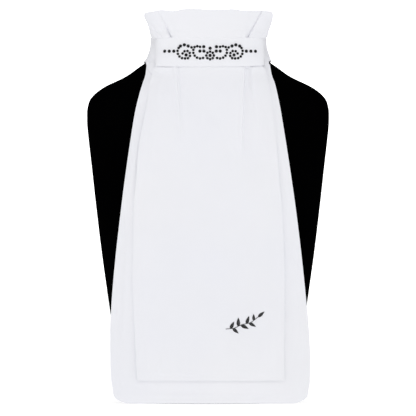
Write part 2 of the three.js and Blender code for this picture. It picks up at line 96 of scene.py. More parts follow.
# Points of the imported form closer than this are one, and points this near its rims lie on them
BUST_MERGE = 0.00002
BUST_RIM = 0.0001

# The neckband: angles run from the wearer's left side by the back (90) to the front (270)
BAND_ROUND_NECK = {
    "inner_end": 70,
    "ramp_start": 392,
    "ramp_end": 427,
    "outer_end": 470,
    "top": 0.3874,
    "bottom_at_sides": 0.3606,
    "bottom_tilt": 0.0006,
    "bottom_at_front": 0.346,
    "off_bust": 0.0015,
    "looser_at_left": 0.0011,
    "looser_from_z": 0.36,
    "looser_to_z": 0.368,
}
# The fall of its lower edge towards the front, by how far the band faces forwards there
BAND_FALL = {"starts": 0.25, "run": 0.55, "power": 2.2}
# Where the lower edge stands out over the flaps: how far the band faces forwards there, and the
# height above the edge over which it comes back
OVER_FLAP = {"height": 0.0009, "starts": (0.3, 0.5), "ends": (0.84, 0.92), "fades": (0.003, 0.0085)}
PUCKERS = {"height": 0.00012, "rate": 1.7, "fine_height": 0.00006, "fine_rate": 3.9, "slant": 9}
CLOSURE = {"start": 75, "end": 105, "thickness": 0.0013, "margin": 0.005, "off_bust": 0.0031}
LAP_GAP = 0.0004
LAP = NECKBAND_WALL + CLOSURE["thickness"] + LAP_GAP

# The cross band: half a flattened oval in plan, shallower where the neck flares below it
CROSS = {"centre": 0.002, "half_width": 0.0576, "front": -0.0494, "squareness": 3.0}
CROSS_DEPTH = {"low": 0.0142, "high": 0.0232, "low_z": 0.358, "high_z": 0.376}
CROSS_TOP = 0.3857
CROSS_BOTTOM = 0.3549
CROSS_BOTTOM_RISE = 0.0016
CROSS_SLANT = 0.0003
CROSS_LIFT = {"x": 0.051, "width": 0.007, "height": 0.0009}
CROSS_SWAY = {"height": 0.0002, "rate": 55, "start": 0.6}
CROSS_BELLY = 0.0002
CROSS_PRESSED = {"height": 0.0001, "share": 0.05}

# The flaps: their side edges and their plan curve at each height
FLAP_COLUMNS = ("z", "left", "right", "front", "depth", "span", "squareness")
REAR_TOP = 0.3445
REAR_TUCK = {"from_x": 0.05, "to_x": 0.062, "from_z": 0.32, "height": 0.0136}
REAR_HEM = 0.0006
REAR_CORNER = {"width": 0.018, "height": 0.0115, "fades_at": 0.03}
REAR_OFF_BUST = 0.001
# The points across and down, and how much closer they stand at the sides and at the hem
REAR_GRID = {"across": 150, "rows": 250, "closer_at_sides": 0.35, "closer_at_hem": 0.25, "power": 1.6}
REAR = [
    (0.002, -0.0999, 0.1055, -0.0586, 0.028, 0.15, 2.2),
    (0.018, -0.1014, 0.107, -0.0588, 0.028, 0.15, 2.2),
    (0.044, -0.1026, 0.1074, -0.0593, 0.028, 0.15, 2.2),
    (0.075, -0.1029, 0.1062, -0.0598, 0.028, 0.15, 2.2),
    (0.104, -0.1015, 0.1037, -0.0601, 0.028, 0.15, 2.2),
    (0.152, -0.0974, 0.0988, -0.0606, 0.028, 0.148, 2.2),
    (0.206, -0.0913, 0.0922, -0.0608, 0.028, 0.142, 2.2),
    (0.25, -0.0856, 0.0859, -0.0599, 0.029, 0.134, 2.2),
    (0.28, -0.0812, 0.0813, -0.0581, 0.031, 0.124, 2.25),
    (0.309, -0.0764, 0.0766, -0.0542, 0.034, 0.11, 2.3),
    (0.327, -0.0721, 0.073, -0.0506, 0.038, 0.098, 2.4),
    (0.338, -0.0688, 0.0704, -0.047, 0.043, 0.09, 2.5),
    (0.3469, -0.066, 0.0672, -0.043, 0.046, 0.086, 2.6),
    (0.3581, -0.0648, 0.0654, -0.037, 0.048, 0.084, 2.6),
]
PANEL_HEM = 0.0247
FRILL_TOP = 0.4161
PANEL_LAYER = 0.0016
# How far its middle lies off the bust where the neckband is between them
PANEL_OFF_BUST = {"distance": 0.0036, "more": 0.0007, "from_x": 0.041, "to_x": 0.053}
# The height over which it passes from the rear flap on to the neckband
ON_TO_NECKBAND = 0.009
# Where it hangs or stands free of the cross band, and how much of the ripples shows there
PANEL_FREE = {"below": (0.345, 0.356), "above": (0.39, 0.402), "ripple": 0.8, "ripple_shift": 0.3}
FRILL_FOLDS_GROW = 0.0012
# The points down and across, and how much closer they stand at the cross band's edges
PANEL_GRID = {"rows": 300, "across": 150, "closer": 6, "reach": 0.004, "above_band": 0.001}
PANEL = [
    (0.0247, -0.0746, 0.0806, -0.0603, 0.028, 0.15, 2.2),
    (0.06, -0.0763, 0.0801, -0.061, 0.028, 0.15, 2.2),
    (0.092, -0.078, 0.0804, -0.0615, 0.028, 0.15, 2.2),
    (0.132, -0.0794, 0.0806, -0.062, 0.028, 0.149, 2.2),
    (0.166, -0.079, 0.0798, -0.0622, 0.028, 0.146, 2.2),
    (0.21, -0.0778, 0.0774, -0.0623, 0.028, 0.141, 2.2),
    (0.24, -0.0751, 0.0746, -0.0618, 0.0286, 0.136, 2.2),
    (0.262, -0.0737, 0.073, -0.0608, 0.0298, 0.129, 2.22),
    (0.283, -0.0708, 0.0713, -0.0595, 0.031, 0.122, 2.25),
    (0.303, -0.0666, 0.0688, -0.0569, 0.033, 0.112, 2.3),
    (0.319, -0.0637, 0.0667, -0.0541, 0.035, 0.102, 2.35),
    (0.335, -0.0618, 0.0642, -0.0509, 0.037, 0.088, 2.45),
    (0.346, -0.0594, 0.0619, -0.0488, 0.034, 0.074, 2.5),
    (0.353, -0.0572, 0.0598, -0.0476, 0.022, 0.064, 2.7),
    (0.358, -0.053, 0.056, -0.0474, 0.0122, 0.0556, 3.0),
    (0.376, -0.0522, 0.0554, -0.0474, 0.0212, 0.0556, 3.0),
    (0.3848, -0.0522, 0.0554, -0.0476, 0.0212, 0.0556, 3.0),
    (0.3853, -0.053, 0.056, -0.048, 0.0216, 0.0558, 3.0),
    (0.3857, -0.0552, 0.0584, -0.0486, 0.026, 0.0585, 3.2),
    (0.3862, -0.0582, 0.0612, -0.0489, 0.036, 0.0618, 3.5),
    (0.3871, -0.0597, 0.0624, -0.0491, 0.041, 0.063, 3.5),
    (0.3895, -0.0607, 0.063, -0.0493, 0.041, 0.064, 3.3),
    (0.394, -0.0617, 0.0641, -0.0499, 0.039, 0.067, 2.6),
    (0.401, -0.0638, 0.0668, -0.0506, 0.038, 0.071, 2.4),
    (0.409, -0.0674, 0.0685, -0.0513, 0.038, 0.074, 2.4),
    (0.4161, -0.0679, 0.0689, -0.0518, 0.038, 0.075, 2.4),
]

# The pleats: where each line crosses the levels. Above the band the cloth lies back in the
# valleys, by the frill's and the band's depths. Below it the cloth bulges forward beside them.
LEVELS = {"frill": 0.409, "band_top": 0.3858, "band_bottom": 0.355, "fade": 0.29}
FRILL_RISE = LEVELS["frill"] - LEVELS["band_top"]
PLEAT_COLUMNS = (
    "line", "frill_x", "band_x", "fade_x", "hem_x", "frill_depth", "band_depth", "bulge", "fades_at"
)
PLEATS = [
    (0, -0.0674, -0.0601, -0.068, -0.0739, 0.0004, 0, 0.0004, 0.32),
    (1, -0.0665, -0.0545, -0.0625, -0.068, 0.0004, 0.0001, 0.001, 0.318),
    (2, -0.064, -0.0495, -0.057, -0.062, 0.0002, 0.0003, 0.0014, 0.316),
    (3, -0.0555, -0.0425, -0.05, -0.056, 0.0001, 0.0002, 0.0012, 0.314),
    (4, -0.0508, -0.0402, -0.044, -0.05, 0.0008, 0.0018, 0.0012, 0.308),
    (5, -0.0486, -0.0388, -0.0405, -0.0445, 0.002, 0.0042, 0.0013, 0.306),
    (6, -0.0458, -0.0373, -0.036, -0.04, 0.0013, 0.002, 0.0015, 0.304),
    (7, -0.0395, -0.0355, -0.0315, -0.036, 0.0005, 0.0004, 0.0014, 0.302),
    (8, -0.0365, -0.0334, -0.0292, -0.033, 0.0001, 0, 0.0023, 0.3),
    (9, -0.0345, -0.0312, -0.0268, -0.0305, 0, 0, 0.0006, 0.3),
    (10, -0.026, -0.0215, -0.017, -0.02, 0, 0, 0.0014, 0.298),
    (11, 0.0008, 0.002, 0.003, 0.004, -0.0002, 0, 0.0016, 0.296),
    (12, 0.0405, 0.0362, 0.033, 0.038, 0, 0, 0.0019, 0.29),
    (13, 0.0426, 0.038, 0.0352, 0.042, 0.0001, 0.0001, 0.0027, 0.286),
    (14, 0.0436, 0.0391, 0.0366, 0.0485, 0.0009, 0.0008, -0.0009, 0.283),
    (15, 0.0541, 0.0418, 0.041, 0.0525, 0.0024, 0.004, -0.001, 0.283),
    (16, 0.0555, 0.0436, 0.0465, 0.057, 0.0006, 0.001, -0.0004, 0.286),
    (17, 0.0595, 0.0475, 0.0545, 0.063, 0, 0.0001, 0.0018, 0.296),
    (18, 0.0655, 0.0515, 0.061, 0.069, 0.0002, 0.0003, 0.0015, 0.306),
    (19, 0.0674, 0.0572, 0.0655, 0.075, 0.0004, 0.0001, 0.001, 0.312),
    (20, 0.0685, 0.0624, 0.0705, 0.0819, 0.0004, 0, 0.0004, 0.32),
]
# Over which heights the pleats grow above the band, fade and are pinched
PLEAT_ENDS = {
    "grown_below_frill": 0.004,
    "fade_below": 0.04,
    "fade_above": 0.03,
    "pinch_below": 0.0009,
    "pinch_above": 0.0001,
}
# How far in from the side edges their own curve still moves the pleat lines
EDGE_LINES = 4
# How steeply the cloth runs back past the ends of its plan curve
EDGE_SLOPE = 1.1
FRILL_EDGE_COLUMNS = ("x", "drop")
FRILL_EDGE = [
    (-0.0676, 0.0072),
    (-0.0664, 0.0048),
    (-0.0648, 0.0037),
    (-0.062, 0.0029),
    (-0.0565, 0.0024),
    (-0.047, 0.0009),
    (-0.0374, 0.0022),
    (-0.031, 0.0019),
    (-0.028, 0.0007),
    (-0.0184, 0),
    (-0.009, 0.0003),
    (0.0037, 0.0011),
    (0.0163, 0.001),
    (0.025, 0.0003),
    (0.0289, 0.0008),
    (0.035, 0.0016),
    (0.0416, 0.0019),
    (0.0543, 0.0016),
    (0.0607, 0.0019),
    (0.0639, 0.0024),
    (0.0662, 0.0033),
    (0.0678, 0.0046),
    (0.0687, 0.0068),
]

# Soft folds that lie along a line on the cloth, seen from the front. Each row is x0, z0, x1, z1,
# width and height. The height is how far the fold stands forward, and negative where it sinks back.
PANEL_FOLDS = [
    (-0.006, 0.075, 0.042, 0.034, 0.007, -0.0013),
    (-0.002, 0.088, 0.05, 0.048, 0.008, 0.0006),
    (-0.062, 0.026, -0.05, 0.06, 0.0035, -0.0011),
    (-0.058, 0.024, -0.043, 0.06, 0.004, 0.0009),
    (-0.0735, 0.16, -0.0705, 0.03, 0.0028, 0.0007),
    (-0.003, 0.335, 0.014, 0.235, 0.014, -0.002),
    (0.03, 0.25, 0.045, 0.19, 0.02, 0.0009),
    (-0.04, 0.27, -0.05, 0.18, 0.022, 0.0009),
    (-0.045, 0.12, 0.02, 0.14, 0.025, -0.0012),
    (-0.0435, 0.3538, -0.0335, 0.3538, 0.0019, -0.0026),
    (-0.042, 0.353, -0.0535, 0.3445, 0.0022, -0.0011),
]
FRILL_FOLDS = [
    (-0.047, 0.3855, -0.0605, 0.4005, 0.0013, -0.0016),
    (-0.0525, 0.3855, -0.0555, 0.39, 0.0008, -0.001),
    (0.0532, 0.3858, 0.0635, 0.3935, 0.0012, -0.0016),
    (-0.036, 0.386, -0.036, 0.41, 0.0007, -0.0003),
    (0.0395, 0.386, 0.042, 0.41, 0.0007, -0.0004),
]
REAR_FOLDS = [
    (-0.0925, 0.19, -0.097, 0.05, 0.005, 0.0009),
    (-0.086, 0.21, -0.09, 0.03, 0.005, -0.0008),
    (0.094, 0.16, 0.1, 0.03, 0.006, 0.0007),
    (-0.09, 0.02, 0.06, 0.008, 0.006, -0.0005),
    (-0.0785, 0.29, -0.084, 0.23, 0.004, -0.0008),
    (0.0745, 0.32, 0.0795, 0.27, 0.003, -0.0007),
    (0.02, 0.22, 0.06, 0.06, 0.03, 0.0012),
]
# How far a fold runs on past its line in widths, how its ends are cut and how full it is
FOLD_SHAPE = {"past_end": 2.2, "ends": (0.04, 0.96), "fullness": 0.6}
# Where the flap's left edge stands off the flap behind it
EDGE_LIFT = {"z": 0.262, "reach": 0.042, "width": 0.012, "height": 0.0018}
SEAM = {"inset": 0.0085, "width": 0.0011, "height": 0.00014, "fades": (0.28, 0.32)}

# A slow unevenness of pressed cloth. Each row is its radians a metre across and up, phase and height.
RIPPLES = [
    (41, 13, 0.3, 0.00035),
    (-63, 27, 1.9, 0.00022),
    (22, -48, 4.1, 0.0003),
    (96, 61, 2.7, 0.00012),
    (-118, 84, 5.2, 0.00008),
]

# The crystals
SMALL_STONE = {"radius": 0.0015, "height": 0.0011}
LARGE_STONE = {"radius": 0.00182, "height": 0.0014}
# Shares of a stone's radius or height, and how each stone is turned and sunk
CUT = {"table": 0.55, "crown": 0.72, "crown_middle": 0.64, "girdle": 0.28, "top": 0.95, "star": 0.16}
STONE_TURN = 0.9
STONE_SEAT = 0.0001
SCROLL_CENTRE = (0.0022, 0.37)
# Each row is an arc's middle x and z, its radius, its first and last angle, its count and its stone
SCROLL_ARCS = [
    (-0.0252, -0.0026, 0, 0, 0, 1, "large"),
    (-0.0251, -0.0024, 0.0041, 161, -108, 7, "small"),
    (-0.0271, 0.0008, 0.0072, 250, 147, 5, "small"),
    (-0.0271, 0.0008, 0.0072, 124, 56, 3, "large"),
    (-0.0196, 0.0053, 0, 0, 0, 1, "small"),
    (-0.0102, 0.0012, 0.0076, 168, 292, 6, "small"),
    (-0.0133, 0.0005, 0.006, 121, 63, 3, "small"),
    (-0.0067, 0.006, 0, 0, 0, 1, "large"),
    (-0.0086, 0.0014, 0.0021, 180, 0, 2, "large"),
]
SCROLL_ROW = {"first": -0.0478, "pitch": 0.0048, "z": 0.0014, "count": 3}
ROSETTE = {"z": -0.0032, "radius": 0.004, "petals": 8, "crown_z": 0.0044}

# The embroidered sprig on the flap: a stem and its leaves, from the sprig's middle. The pleats have
# died out there, so the depth of any pleat line serves.
SPRIG_CENTRE = (0.0365, 0.085)
SPRIG_PLEAT_LINE = 8.0
STEM = [(-0.018, -0.0058), (-0.01, -0.0051), (-0.0011, -0.0013), (0.0078, 0.0009), (0.0162, 0.0069)]
# Each row is a leaf's share along the stem, its turn in degrees, its length and its width
LEAVES = [
    (0.16, 58, 0.0083, 0.0036),
    (0.24, -50, 0.0078, 0.0034),
    (0.4, 62, 0.009, 0.0039),
    (0.48, -48, 0.0087, 0.0038),
    (0.64, 60, 0.0083, 0.0036),
    (0.72, -46, 0.0078, 0.0034),
    (0.86, 54, 0.0067, 0.003),
    (1.0, 4, 0.0085, 0.0034),
]
THREAD = 0.00036
STEM_STITCHES = 46
# The stitches of the stem and the leaves, in threads, stitches or shares of a leaf's half width
SATIN = {
    "stem_length": 1.7,
    "stem_radius": 0.8,
    "leaf_pitch": 1.2,
    "leaf_radius": 0.66,
    "leaf_fullness": 0.8,
    "slant": 0.35,
    "past_middle": 0.2,
    "heading_step": 0.02,
}

# One stitch, one long and of radius one: where it is cut, its ends, and its middle's and sides' rise
STITCH = {"cuts": (-0.34, 0, 0.34), "ends": 0.45, "middle": 0.1, "thin": 0.45, "rise": 0.9, "side": 0.55}
# The closure's topstitching: degrees back from the outer end, its heights and its stitches
TOPSTITCH = {
    "starts": 1.2,
    "ends": 34,
    "top": 0.3855,
    "bottom": 0.3615,
    "pitch": 0.0026,
    "stitch": (0.1, 0.9),
    "radius": 0.0002,
    "outwards": 0.01,
}

# What the bust stands on and before: size, middle, turn about X, shade and glow
SURROUND = [
    ("floor", 12, (0, 0, 0), 0, 0.42, 0.76),
    ("backdrop", 4, (0, 5.5, 1), math.pi / 2, 0.93, 1.0),
]
# The light all round, and the lamps: name, place, size across and up, watts
WORLD_LIGHT = 0.57
LAMP_AIM = (0, -0.05, 0.22)
LAMPS = [
    ("key", (0.0, -1.4, 1.85), (1.0, 1.0), 9.7),
    ("left fill", (-1.7, -0.7, 0.6), (0.8, 0.8), 3.6),
    ("right fill", (1.7, -0.7, 0.6), (0.8, 0.8), 3.1),
]


def columns(names, rows):
    """A table's columns by name."""
    return {name: np.array([row[i] for row in rows], float) for i, name in enumerate(names)}


def smooth_curve(at, value):
    """A smooth curve without overshoot through the values."""
    slope = np.diff(value) / np.diff(at)
    before, after = slope[:-1], slope[1:]
    level = before * after <= 0
    inner = np.where(level, 0, 2 * before * after / np.where(level, 1, before + after))
    tangent = np.concatenate([slope[:1], inner, slope[-1:]])

    def curve(where):
        where = np.clip(where, at[0], at[-1])
        i = np.clip(np.searchsorted(at, where, side="right") - 1, 0, len(at) - 2)
        width = at[i + 1] - at[i]
        t = (where - at[i]) / width
        rise = t * t * (3 - 2 * t)
        bend = tangent[i] * t * (1 - t) ** 2 - tangent[i + 1] * t * t * (1 - t)
        return value[i] * (1 - rise) + value[i + 1] * rise + width * bend

    return curve


def curves(names, rows):
    """A smooth curve for each column after the first, which they run along."""
    table = columns(names, rows)
    return {name: smooth_curve(table[names[0]], table[name]) for name in names[1:]}


def mix(a, b, share):
    return a + (b - a) * share


def smooth_share(value, low, high):
    t = np.clip((value - low) / (high - low), 0, 1)
    return t * t * (3 - 2 * t)


def signed_power(value, exponent):
    return np.sign(value) * np.abs(value) ** exponent


bust_at = curves(BUST_COLUMNS, BUST)
rear_at = curves(FLAP_COLUMNS, REAR)
panel_at = curves(FLAP_COLUMNS, PANEL)
pleat_at = curves(PLEAT_COLUMNS, PLEATS)
frill_drop = curves(FRILL_EDGE_COLUMNS, FRILL_EDGE)["drop"]


def bust_skin(degrees, z, offset):
    """Points on the bust's skin, moved off it by an offset."""

    def on(angle, height):
        exponent = 2 / bust_at["squareness"](height)
        middle = (bust_at["front"](height) + bust_at["back"](height)) / 2
        half_depth = (bust_at["back"](height) - bust_at["front"](height)) / 2
        x = bust_at["half_width"](height) * signed_power(np.cos(angle), exponent)
        y = middle + half_depth * signed_power(np.sin(angle), exponent)
        return np.stack([x, y, height + 0 * x], -1)

    angle, height = np.broadcast_arrays(np.radians(degrees), z)
    around = on(angle + SMALL_TURN, height) - on(angle - SMALL_TURN, height)
    upwards = on(angle, height + SMALL_STEP) - on(angle, height - SMALL_STEP)
    normal = np.cross(around, upwards)
    normal /= np.linalg.norm(normal, axis=-1, keepdims=True)
    return on(angle, height) + normal * np.asarray(offset)[..., None]


def bust_front(x, z):
    """How far forward the bust's skin lies, seen from the front."""
    exponent = bust_at["squareness"](z)
    share = np.minimum(np.abs(x) / bust_at["half_width"](z), 1)
    middle = (bust_at["front"](z) + bust_at["back"](z)) / 2
    half_depth = (bust_at["back"](z) - bust_at["front"](z)) / 2
    return middle - half_depth * (1 - share**exponent) ** (1 / exponent)


def resting_on(surface, x, z, distance, step=SMALL_STEP, steepest=2):
    """The depth of a sheet in front of a surface, at a true distance from it."""
    sideways = (surface(x + step, z) - surface(x - step, z)) / (2 * step)
    upwards = (surface(x, z + step) - surface(x, z - step)) / (2 * step)
    slant = np.sqrt(1 + sideways**2 + upwards**2)
    return surface(x, z) - distance * np.minimum(slant, steepest)


def oval_depth(x, z, at):
    """The depth of a flap's plan curve at a distance from its middle."""
    share = np.minimum(np.abs(x) / at["span"](z), 1)
    squareness = at["squareness"](z)
    beyond = np.maximum(np.abs(x) - at["span"](z), 0)
    oval = 1 - (1 - share**squareness) ** (1 / squareness)
    return at["front"](z) + at["depth"](z) * oval + EDGE_SLOPE * beyond


def folds(x, z, rows):
    """How far forward soft folds stand at a place."""
    height = 0 * x
    for x0, z0, x1, z1, width, rise in rows:
        run = np.array([x1 - x0, z1 - z0])
        length = np.hypot(*run)
        along = ((x - x0) * run[0] + (z - z0) * run[1]) / length**2
        aside = ((x - x0) * run[1] - (z - z0) * run[0]) / length
        past_end = FOLD_SHAPE["past_end"] * width
        beyond = np.maximum(np.abs(along - 0.5) - 0.5, 0) * length / past_end
        taper = np.sin(np.pi * np.clip(along, *FOLD_SHAPE["ends"])) ** FOLD_SHAPE["fullness"]
        height = height + rise * taper * np.exp(-((aside / width) ** 2) - beyond**2)
    return height


def ripples(x, z):
    """The slow unevenness of pressed cloth."""
    return sum(
        height * np.sin(across * x + up * z + phase) for across, up, phase, height in RIPPLES
    )


def seam_ridge(inwards):
    """The mark of the seam allowance inside the cloth, at a distance in from an edge."""
    return SEAM["height"] * np.exp(-(((inwards - SEAM["inset"]) / SEAM["width"]) ** 2))


def rear_depth(x, z):
    """The middle of the rear flap: its plan curve, or the bust where that is further forward."""
    on_bust = resting_on(bust_front, x, z, REAR_OFF_BUST)
    return np.minimum(oval_depth(x, z, rear_at) - folds(x, z, REAR_FOLDS) - ripples(x, z), on_bust)


def pleat_x(place, z):
    """How far across a pleat line lies at a height; the outer lines follow the side edges."""

    def lines(at):
        def level(column):
            return pleat_at[column](at)

        above = mix(level("band_x"), level("frill_x"), (z - LEVELS["band_top"]) / FRILL_RISE)
        below_run = (LEVELS["band_bottom"] - z) / (LEVELS["band_bottom"] - LEVELS["fade"])
        below = mix(level("band_x"), level("fade_x"), np.clip(below_run, 0, 1))
        low_run = (LEVELS["fade"] - z) / (LEVELS["fade"] - PANEL_HEM)
        low = mix(level("fade_x"), level("hem_x"), np.clip(low_run, 0, 1))
        in_band = np.where(z >= LEVELS["band_bottom"], level("band_x"), below)
        return np.where(z >= LEVELS["band_top"], above, np.where(z < LEVELS["fade"], low, in_band))

    last = float(len(PLEATS) - 1)
    near_left = 1 - smooth_share(place, 0, EDGE_LINES)
    near_right = 1 - smooth_share(last - place, 0, EDGE_LINES)
    to_left = panel_at["left"](z) - lines(0.0)
    to_right = panel_at["right"](z) - lines(last)
    return lines(place) + to_left * near_left + to_right * near_right


def pleat_depth(place, z):
    """How far the cloth lies behind the panel's plan curve, or in front of it, in its pleats."""
    grow = smooth_share(z, LEVELS["band_top"], LEVELS["frill"] - PLEAT_ENDS["grown_below_frill"])
    above = mix(pleat_at["band_depth"](place), pleat_at["frill_depth"](place), grow)
    fades_at = pleat_at["fades_at"](place)
    out = smooth_share(z, fades_at - PLEAT_ENDS["fade_below"], fades_at + PLEAT_ENDS["fade_above"])
    low = LEVELS["band_bottom"] - PLEAT_ENDS["pinch_below"]
    high = LEVELS["band_bottom"] + PLEAT_ENDS["pinch_above"]
    pinched = 1 - smooth_share(z, low, high)
    below = -pleat_at["bulge"](place) * out * pinched
    return np.where(z >= LEVELS["band_top"], above, below)


def panel_rest(x, z):
    """The furthest back that the panel's middle may lie."""
    off = PANEL_OFF_BUST
    over_bust = off["distance"] + off["more"] * smooth_share(np.abs(x), off["from_x"], off["to_x"])
    on_neckband = resting_on(bust_front, x, z, over_bust)
    on_rear = resting_on(rear_depth, x, z, PANEL_LAYER)
    between = mix(on_rear, on_neckband, smooth_share(z, REAR_TOP - ON_TO_NECKBAND, REAR_TOP))
    behind = np.where(z <= REAR_TOP, np.minimum(between, on_rear), on_neckband)
    return np.where(z > BAND_ROUND_NECK["top"], np.inf, behind)


def panel_depth(x, z, place):
    """The middle of the front panel."""
    middle = mix(0, CROSS["centre"], smooth_share(z, LEVELS["fade"], LEVELS["band_bottom"]))
    hanging = oval_depth(x - middle, z, panel_at) + pleat_depth(place, z)
    below = 1 - smooth_share(z, *PANEL_FREE["below"])
    above = smooth_share(z, LEVELS["band_top"], LEVELS["band_top"] + FRILL_FOLDS_GROW)
    free = below + smooth_share(z, *PANEL_FREE["above"])
    hanging = hanging - below * folds(x, z, PANEL_FOLDS) - above * folds(x, z, FRILL_FOLDS)
    hanging = hanging - PANEL_FREE["ripple"] * free * ripples(x + PANEL_FREE["ripple_shift"], z)
    from_left = x - panel_at["left"](z)
    lift = np.exp(-(((z - EDGE_LIFT["z"]) / EDGE_LIFT["reach"]) ** 2))
    hanging = hanging - EDGE_LIFT["height"] * lift * np.exp(-((from_left / EDGE_LIFT["width"]) ** 2))
    return np.minimum(hanging, panel_rest(x, z))


def cross_plan(share, z, inset=0.0):
    """Points of the cross band's plan curve and the direction that the band faces there."""
    share, z = np.broadcast_arrays(share, z)
    exponent = 2 / CROSS["squareness"]
    deeper = smooth_share(z, CROSS_DEPTH["low_z"], CROSS_DEPTH["high_z"])
    depth = mix(CROSS_DEPTH["low"], CROSS_DEPTH["high"], deeper)

    def on(s):
        angle = np.clip(s, -1, 1) * math.pi / 2
        x = CROSS["centre"] + CROSS["half_width"] * signed_power(np.sin(angle), exponent)
        y = CROSS["front"] + depth * (1 - np.maximum(np.cos(angle), 0) ** exponent)
        return np.stack([x, y + 0 * x], -1)

    along = on(share + SMALL_SHARE) - on(share - SMALL_SHARE)
    along /= np.linalg.norm(along, axis=-1, keepdims=True)
    facing = np.stack([along[..., 1], -along[..., 0]], -1)
    return on(share) - facing * inset, facing


def cross_share(distance):
    """The share of the cross band's plan curve at a distance to one side of its middle."""
    sine = np.abs(distance / CROSS["half_width"]) ** (CROSS["squareness"] / 2)
    return np.sign(distance) * np.arcsin(np.clip(sine, 0, 1)) * 2 / math.pi


class Term:
    """A number that varies over a surface: Python's operators add the Math nodes."""

    def __init__(self, paint, socket):
        self.paint = paint
        self.socket = socket

    def maths(self, operation, *others):
        node = self.paint.node("ShaderNodeMath", [self, *others], operation=operation)
        return Term(self.paint, node.outputs[0])

    def __add__(self, other):
        return self.maths("ADD", other)

    def __radd__(self, other):
        return self.maths("ADD", other)

    def __sub__(self, other):
        return self.maths("SUBTRACT", other)

    def __rsub__(self, other):
        return (self * -1) + other

    def __mul__(self, other):
        return self.maths("MULTIPLY", other)

    def __rmul__(self, other):
        return self.maths("MULTIPLY", other)

    def __truediv__(self, other):
        return self.maths("DIVIDE", other)

    def sine(self):
        return self.maths("SINE")

    def size(self):
        return self.maths("ABSOLUTE")

    def whole(self):
        return self.maths("FLOOR")

    def remainder(self, step):
        return self.maths("FLOORED_MODULO", step)

    def below(self, limit):
        return self.maths("LESS_THAN", limit)

    def choose(self, zero, one):
        return zero + self * (one - zero)


class Paint:
    """A material in the making."""

    def __init__(self, name, **surface):
        self.material = bpy.data.materials.new(name)
        self.material.use_nodes = True
        self.tree = self.material.node_tree
        self.tree.nodes.clear()
        self.output = self.tree.nodes.new("ShaderNodeOutputMaterial")
        self.surface = self.node("ShaderNodeBsdfPrincipled", surface)
        self.tree.links.new(self.surface.outputs[0], self.output.inputs["Surface"])

    def node(self, kind, inputs=(), **settings):
        """A node with its settings first and then its sockets' values or links."""
        node = self.tree.nodes.new(kind)
        for name, value in settings.items():
            setattr(node, name, value)
        given = inputs.items() if isinstance(inputs, dict) else enumerate(inputs)
        for key, value in given:
            self.give(node.inputs[key], value)
        return node

    def give(self, socket, value):
        if isinstance(value, Term):
            self.tree.links.new(value.socket, socket)
        elif isinstance(value, bpy.types.NodeSocket):
            self.tree.links.new(value, socket)
        else:
            socket.default_value = value

    def set(self, name, value):
        self.give(self.surface.inputs[name], value)

    def place(self):
        """Object coordinates."""
        return self.node("ShaderNodeTexCoord").outputs["Object"]

    def noise(self, vector, scale, detail=3.0, roughness=0.5):
        inputs = {"Vector": vector, "Scale": scale, "Detail": detail, "Roughness": roughness}
        return Term(self, self.node("ShaderNodeTexNoise", inputs).outputs[0])

    def tint(self, low, high, share):
        """A colour between two, by a share."""
        node = self.node("ShaderNodeMix", data_type="RGBA")
        self.give(node.inputs[0], share)
        self.give(node.inputs[6], (*low, 1))
        self.give(node.inputs[7], (*high, 1))
        return node.outputs[2]

    def relief(self, height, strength, distance):
        """Raises the surface by a height."""
        inputs = {"Strength": strength, "Distance": distance, "Height": height}
        self.set("Normal", self.node("ShaderNodeBump", inputs).outputs[0])


def weave(paint, pitch):
    """A plain weave's height on the cloth's own map, which is in metres."""
    across, along, _ = (
        Term(paint, socket)
        for socket in paint.node(
            "ShaderNodeSeparateXYZ", [paint.node("ShaderNodeUVMap", uv_map="cloth").outputs[0]]
        ).outputs
    )
    warp = (across * (math.pi / pitch)).sine().size()
    weft = (along * (math.pi / pitch)).sine().size()
    over = ((across / pitch).whole() + (along / pitch).whole()).remainder(2.0).below(0.5)
    return over.choose(warp * 0.8, weft)


def white_cloth(cool=(0.838, 0.845, 0.892), warm=(0.849, 0.852, 0.884)):
    """Fine-woven white cotton, pressed; its white is cooler in some places than in others."""
    paint = Paint("white cotton", Roughness=0.82, **{"Sheen Weight": 0.12, "Sheen Roughness": 0.5})
    place = paint.place()
    cloudy = paint.noise(place, 24.0, 3.0)
    slubs = paint.noise(place, 900.0, 2.0)
    broad = paint.noise(place, 9.0, 2.0) * 2.4 - 0.7
    tone = paint.tint(cool, warm, broad)
    wear = cloudy * 0.8 + slubs * 0.3
    brightness = wear * 0.035 + 0.965
    shade = paint.node("ShaderNodeVectorMath", {0: tone, "Scale": brightness}, operation="SCALE")
    paint.set("Base Color", shade.outputs[0])
    threads = weave(paint, WEAVE_PITCH)
    crumple = paint.noise(place, 130.0, 4.0, 0.6)
    paint.relief(threads * 0.5 + crumple * 1.4, 0.35, 0.00016)
    return paint.material


def black_velvet():
    """Velvet stretched over the bust: very dark, with a soft pile."""
    paint = Paint("black velvet", Roughness=1.0)
    paint.set("Specular IOR Level", 0.0)
    paint.set("Sheen Weight", 0.002)
    paint.set("Sheen Roughness", 0.35)
    place = paint.place()
    pile = paint.noise(place, 1400.0, 2.0)
    brushed = paint.noise(place, 18.0, 4.0, 0.6)
    shade = brushed * 0.7 + pile * 0.3
    paint.set("Base Color", paint.tint((0.0001, 0.0001, 0.0002), (0.0006, 0.0006, 0.0007), shade))
    paint.relief(pile * 1.0 + brushed * 1.2, 0.5, 0.0003)
    return paint.material


def black_crystal():
    """Jet cut glass, polished."""
    paint = Paint("jet crystal", Metallic=0.0, IOR=1.56)
    place = paint.place()
    polish = paint.noise(place, 600.0, 2.0)
    paint.set("Roughness", polish * 0.05 + 0.02)
    paint.set("Base Color", paint.tint((0.0015, 0.0015, 0.002), (0.005, 0.005, 0.006), polish))
    paint.set("Specular IOR Level", 0.3)
    return paint.material


